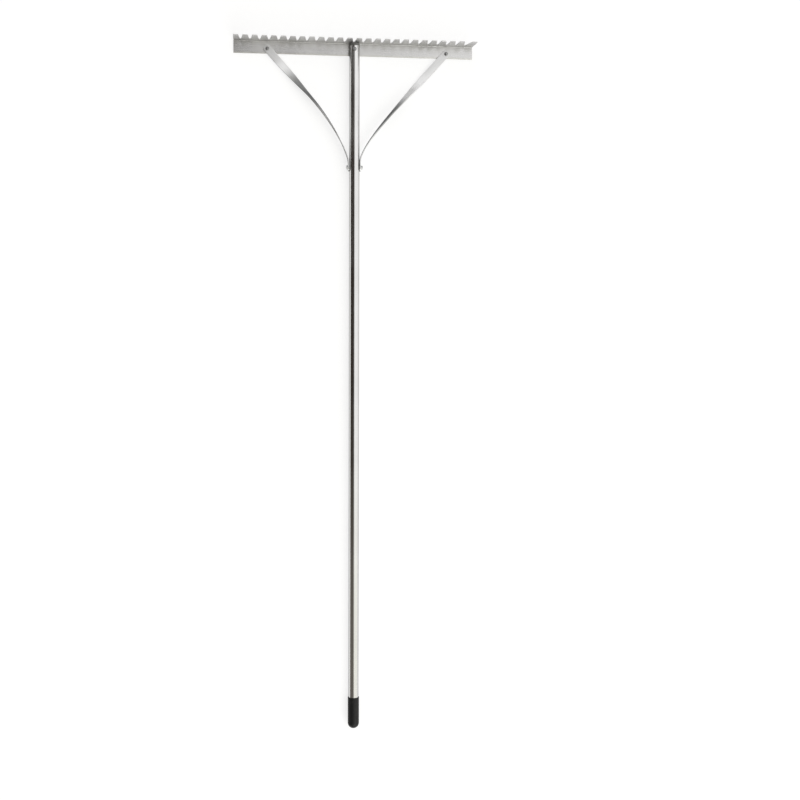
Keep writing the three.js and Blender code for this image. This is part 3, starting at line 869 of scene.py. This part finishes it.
# Fasteners: each shape is made once, along +Z from its seat, and a node tree sets its copies in place
def placeTree():
    tree, inlet, outlet = newTree("setFasteners", [
        ("Shape", "Object"), ("Tilt", "Vector"), ("Turn Spread", "Float"), ("Seed", "Int"),
        ("Material", "Material"),
    ])
    sizes = inlet.outputs
    shape = addNode(tree, "GeometryNodeObjectInfo", {"transform_space": "ORIGINAL"}, Object=sizes["Shape"])
    points = addNode(tree, "GeometryNodeMeshToPoints", Mesh=sizes["Geometry"])
    turn = addNode(tree, "FunctionNodeRandomValue", {"data_type": "FLOAT"})
    feedAll(tree, turn, {2: 0.0, 3: sizes["Turn Spread"], "Seed": sizes["Seed"]})
    spin = addNode(tree, "ShaderNodeCombineXYZ", Z=turn.outputs[1])
    spun = addNode(tree, "FunctionNodeEulerToRotation", Euler=spin)
    tilted = addNode(tree, "FunctionNodeEulerToRotation", Euler=sizes["Tilt"])
    both = addNode(tree, "FunctionNodeRotateRotation", {"rotation_space": "LOCAL"})
    feedAll(tree, both, {0: tilted, 1: spun})
    copies = addNode(tree, "GeometryNodeInstanceOnPoints", Points=points, Instance=shape.outputs["Geometry"],
                     Rotation=both)
    closeTree(tree, copies, sizes["Material"], outlet)
    return tree


fastenerTree = placeTree()
upright = (0.0, 0.0, 0.0)
sidewise = (0.0, math.pi / 2, 0.0)
zinc = (zincFinish, "zinc_steel")
nylon = (nylonFinish, "dark_nylon")


def setFasteners(name, shapeMesh, places, tilt, look, nodes, seed=1, spread=1.0):
    finish, slot = look
    shape = helperObject(name + "Shape", shapeMesh)
    seatMesh = bpy.data.meshes.new(name + "Places")
    seatMesh.from_pydata([tuple(place) for place in places], [], [])
    carrier = helperObject(name + "Places", seatMesh)
    runTree(carrier, fastenerTree, {
        "Shape": shape, "Tilt": tilt, "Turn Spread": spread, "Seed": seed, "Material": finish,
    })
    mesh = finishMesh(bakedMesh(carrier, name))
    for helper in (carrier, shape):
        dropHelper(helper)
    return showPiece(name, mesh, slot, *nodes)


# The middle of each node's low end, along Z or, with axis 0, along X for what lies sidewise
def seatsOf(nodes, axis=2):
    places = [middle(node) for node in nodes]
    for node, place in zip(nodes, places):
        place[axis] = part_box(node)[0][axis]
    return places


smallNut = {
    "flat": 4 * mm, "hex": 3.6 * mm, "collar": 3.8 * mm, "collarWall": 0.6 * mm, "rise": 1.4 * mm,
    "bore": 2.6 * mm,
}
largeNut = {
    "flat": 5 * mm, "hex": 3.4 * mm, "collar": 4.8 * mm, "collarWall": 0.7 * mm, "rise": 1 * mm,
    "bore": 3.1 * mm,
}
nutDetail = {
    "chamferShare": 0.97, "boreChamfer": 0.3 * mm, "ledge": 0.02 * mm, "collarFoot": 0.3 * mm,
    "lipDip": 0.25 * mm, "steps": 96,
}
chamferSlope = math.tan(math.radians(30))


def nutShape(name, nut):
    flat, hexTop, collar, bore = nut["flat"], nut["hex"], nut["collar"], nut["bore"]
    top, lip = hexTop + nut["rise"], nut["collarWall"]
    start, chamfer, ledge = flat * nutDetail["chamferShare"], nutDetail["boreChamfer"], nutDetail["ledge"]
    profile = [
        (bore, chamfer), (bore + chamfer, 0.0), (start, 0.0), hexCorner(flat, 0.0, chamferSlope, start),
        hexCorner(flat, hexTop, -chamferSlope, start), (start, hexTop + ledge),
        (collar + ledge, hexTop + 2 * ledge), (collar, hexTop + nutDetail["collarFoot"]), (collar, top - lip),
    ]
    profile += arcProfile((collar - lip, top - lip), lip, 20, 90, 4)
    profile += [(collar - lip, top - nutDetail["lipDip"]), (collar - lip, hexTop), (bore, hexTop)]
    return turnedMesh(name, profile, nutDetail["steps"], closed=True)


insertDetail = {"gap": 0.1 * mm, "drop": 0.2 * mm, "outerEdge": 0.15 * mm, "innerEdge": 0.2 * mm, "steps": 72}


def insertShape(name, nut):
    inner, outer = nut["bore"], nut["collar"] - nut["collarWall"] - insertDetail["gap"]
    low, high = nut["hex"], nut["hex"] + nut["rise"] - insertDetail["drop"]
    outerEdge, innerEdge = insertDetail["outerEdge"], insertDetail["innerEdge"]
    profile = [(inner, low), (outer, low), (outer, high - outerEdge), (outer - outerEdge, high)]
    profile += [(inner + innerEdge, high), (inner, high - innerEdge)]
    return turnedMesh(name, profile, insertDetail["steps"], closed=True)


washer = {"thickness": 1 * mm, "edge": 0.15 * mm, "screwOuter": 5 * mm, "boltOuter": 6 * mm, "steps": 72}


def washerShape(name, hole, outer):
    edge, thickness = washer["edge"], washer["thickness"]
    return turnedMesh(name, [
        (hole, edge), (hole + edge, 0), (outer - edge, 0), (outer, edge), (outer, thickness - edge),
        (outer - edge, thickness), (hole + edge, thickness), (hole, thickness - edge),
    ], washer["steps"], closed=True)


thread = {"depth": 0.12 * mm, "crestShares": (0.4, 0.6)}


def threadProfile(radius, start, end, pitch):
    root = radius - thread["depth"]
    count = max(int((end - start) / pitch), 1)
    step = (end - start) / count
    rows = []
    for turn in range(count):
        foot = start + turn * step
        rows += [(root, foot)] + [(radius, foot + step * share) for share in thread["crestShares"]]
    return rows + [(root, end)]


screw = {
    "radius": 2.5 * mm, "head": 4.8 * mm, "rim": 0.15 * mm, "socket": 1.5 * mm, "socketDepth": 1.8 * mm,
    "socketEdge": 0.12 * mm, "socketMouthShare": 1.25, "neck": 0.5 * mm, "pitch": 0.8 * mm,
    "tip": 0.4 * mm, "steps": 72,
}


def screwShape(name, length):
    radius, headRadius, rim = screw["radius"], screw["head"], screw["rim"]
    socket, socketDepth = screw["socket"], screw["socketDepth"]
    coneEnd = headRadius - radius
    profile = [
        (0, socketDepth), hexCorner(socket, socketDepth), hexCorner(socket, screw["socketEdge"]),
        (socket * screw["socketMouthShare"], 0.0), (headRadius - rim, 0.0), (headRadius, rim),
        (radius, coneEnd),
    ]
    profile += threadProfile(radius, coneEnd + screw["neck"], length - screw["tip"], screw["pitch"])
    profile += [(radius - screw["tip"], length), (0, length)]
    return turnedMesh(name, profile, screw["steps"])


bolt = {
    "radius": 3 * mm, "flat": 5 * mm, "head": 3.5 * mm, "chamferShare": 0.95, "crownShare": 0.6,
    "crown": 0.02 * mm, "seatEdge": 0.05 * mm, "fillet": 0.2 * mm, "threadShare": 0.72, "pitch": 1 * mm,
    "tip": 0.4 * mm, "steps": 96,
}


def boltShape(name, length):
    radius, flat, deep, fillet = bolt["radius"], bolt["flat"], bolt["head"], bolt["fillet"]
    start = flat * bolt["chamferShare"]
    profile = [
        (0, -deep), (start * bolt["crownShare"], -deep), (start, bolt["crown"] - deep),
        hexCorner(flat, -deep, chamferSlope, start), hexCorner(flat, -bolt["seatEdge"]), (start, 0.0),
        (radius + fillet, 0.0), (radius, fillet),
    ]
    profile += threadProfile(radius, length * bolt["threadShare"], length - bolt["tip"], bolt["pitch"])
    profile += [(radius - bolt["tip"], length), (0, length)]
    return turnedMesh(name, profile, bolt["steps"])


def nodesOf(suffix, names=screwNames):
    return [name + suffix for name in names]


for pieceName, names in (("braceScrews", screwNames[:2]), ("handleScrew", screwNames[2:])):
    screws = nodesOf("_screw", names)
    low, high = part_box(screws[0])
    setFasteners(pieceName, screwShape(pieceName + "Mesh", high.z - low.z), seatsOf(screws), upright, zinc,
                 screws, seed=3)
washers, nuts = nodesOf("_washer"), nodesOf("_nut")
setFasteners("screwWashers", washerShape("screwWasherMesh", holes["screw"], washer["screwOuter"]),
             seatsOf(washers), upright, zinc, washers)
setFasteners("screwNuts", nutShape("screwNutMesh", smallNut), seatsOf(nuts), upright, zinc, nuts,
             seed=5, spread=0.35)
setFasteners("screwNutInserts", insertShape("screwInsertMesh", smallNut), seatsOf(nuts), upright, nylon,
             nodesOf("_nut_insert"))

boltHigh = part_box("brace_bolt")[1]
boltSeat = seatsOf(["brace_bolt"], axis=0)[0]
boltSeat.x += bolt["head"]
setFasteners("braceBolt", boltShape("braceBoltMesh", boltHigh.x - boltSeat.x), [boltSeat], sidewise, zinc,
             ["brace_bolt"], seed=7, spread=0.0)
boltWashers = ["brace_bolt_head_washer", "brace_bolt_nut_washer"]
setFasteners("boltWashers", washerShape("boltWasherMesh", holes["bolt"], washer["boltOuter"]),
             seatsOf(boltWashers, axis=0), sidewise, zinc, boltWashers)
nutSeat = seatsOf(["brace_bolt_nut"], axis=0)
setFasteners("boltNut", nutShape("boltNutMesh", largeNut), nutSeat, sidewise, zinc, ["brace_bolt_nut"],
             spread=0.0)
setFasteners("boltNutInsert", insertShape("boltInsertMesh", largeNut), nutSeat, sidewise, nylon,
             ["brace_bolt_nut_insert"])
print("fasteners set")


# Studio floor: white to the camera and in the metal, mid grey for the light that it bounces
studio = {
    "floorSize": 60.0, "floorDrop": 0.1 * mm, "floorTone": 0.38, "floorGlow": 0.70, "floorRough": 0.9,
    "floorGloss": 0.1,
}


def buildFloor():
    mesh = bpy.data.meshes.new("studioFloor")
    half = studio["floorSize"] / 2
    corners = [(-half, -half, 0), (half, -half, 0), (half, half, 0), (-half, half, 0)]
    mesh.from_pydata(corners, [], [(0, 1, 2, 3)])
    mesh.transform(Matrix.Translation((0, 0, cadBox[0].z - studio["floorDrop"])))
    floor = helperObject("studioFloor", mesh)
    material, tree, shader = newMaterial("paleFloor")
    shader.inputs["Base Color"].default_value = grey(studio["floorTone"])
    shader.inputs["Roughness"].default_value = studio["floorRough"]
    shader.inputs["Specular IOR Level"].default_value = studio["floorGloss"]
    path = addNode(tree, "ShaderNodeLightPath").outputs
    seen = mathNode(tree, "ADD", plus(tree, path["Is Camera Ray"], path["Is Glossy Ray"]),
                    path["Is Transmission Ray"], clamp=True)
    glow = addNode(tree, "ShaderNodeEmission", Strength=times(tree, seen, studio["floorGlow"]))
    lit = addNode(tree, "ShaderNodeAddShader")
    feedAll(tree, lit, {0: shader, 1: glow})
    feed(tree, tree.nodes["Material Output"], "Surface", lit)
    mesh.materials.append(material)


# Dome: bright in the east and north, dark brown in the west and less dark in the south-west, with a grey
# screen low in the north-east and a white skyline
dome = {
    "westEdge": -0.15, "eastEdge": 0.23, "northStart": 0.24, "northEnd": 0.44,
    "southStart": -0.09, "southEnd": -0.22, "dark": (0.036, 0.029, 0.023, 1),
    "southDark": (0.17, 0.155, 0.135, 1), "bright": (1.2, 1.194, 1.188, 1),
    "southBright": (1.17, 1.165, 1.075, 1), "screenAim": (0.64, 0.74, 0.16), "screenInner": 10,
    "screenOuter": 24, "screenTone": 0.10, "skylineLow": 0.02, "skylineHigh": 0.09, "skylineTone": 1.0,
}


def buildWorld():
    world = bpy.data.worlds.new("studioDome")
    world.use_nodes = True
    scene.world = world
    tree = world.node_tree
    aim = addNode(tree, "ShaderNodeTexCoord").outputs["Generated"]
    heading = addNode(tree, "ShaderNodeSeparateXYZ", Vector=aim).outputs
    east = ranged(tree, heading["X"], dome["westEdge"], dome["eastEdge"], 0.0, 1.0, smooth=True)
    north = ranged(tree, heading["Y"], dome["northStart"], dome["northEnd"], 0.0, 1.0, smooth=True)
    south = ranged(tree, heading["Y"], dome["southEnd"], dome["southStart"], 1.0, 0.0, smooth=True)
    dark = blended(tree, south, dome["dark"], dome["southDark"])
    bright = blended(tree, south, dome["bright"], dome["southBright"])
    colour = blended(tree, mathNode(tree, "MAXIMUM", east, north), dark, bright)
    near = vectorNode(tree, "DOT_PRODUCT", aim, tuple(Vector(dome["screenAim"]).normalized()))
    cosines = [math.cos(math.radians(dome[key])) for key in ("screenOuter", "screenInner")]
    screen = ranged(tree, near, *cosines, 0.0, 1.0, smooth=True)
    colour = blended(tree, screen, colour, grey(dome["screenTone"]))
    skyline = ranged(tree, heading["Z"], dome["skylineLow"], dome["skylineHigh"], 1.0, 0.0, smooth=True)
    colour = blended(tree, skyline, colour, grey(dome["skylineTone"]))
    feed(tree, tree.nodes["Background"], "Color", colour)
    tree.nodes["Background"].inputs["Strength"].default_value = 1.0


softbox = {"place": (1.0, -3.6, 2.2), "aim": (0.0, 0.0, 0.0), "size": (4.5, 2.0), "power": 60}


def buildLamp():
    light = bpy.data.lights.new("frontSoftbox", "AREA")
    light.shape = "RECTANGLE"
    light.size, light.size_y = softbox["size"]
    light.energy = softbox["power"]
    lamp = helperObject("frontSoftbox", light)
    lamp.location = softbox["place"]
    lamp.rotation_euler = (Vector(softbox["aim"]) - lamp.location).to_track_quat("-Z", "Y").to_euler()


# Camera: its place is given from the point where the handle's line meets the flange's outer face
view = {
    "fromHead": (-257.3 * mm, -803.8 * mm, 3371.9 * mm), "turn": (-0.0508, -0.1141, 0.0036),
    "focalPixels": 1222.71, "frameWidth": 800, "sensorWidth": 36, "farClip": 100,
}


def buildCamera():
    camera = bpy.data.cameras.new("photoCamera")
    camera.sensor_width = view["sensorWidth"]
    camera.lens = view["focalPixels"] * view["sensorWidth"] / view["frameWidth"]
    camera.clip_end = view["farClip"]
    holder = helperObject("photoCamera", camera)
    holder.location = Vector((handleX, flangeFace, cadBox[0].z)) + Vector(view["fromHead"])
    holder.rotation_euler = Euler(view["turn"], "XYZ")
    scene.camera = holder


buildFloor()
buildWorld()
buildLamp()
buildCamera()
scene.view_settings.view_transform = "Standard"
print("studio and camera ready")
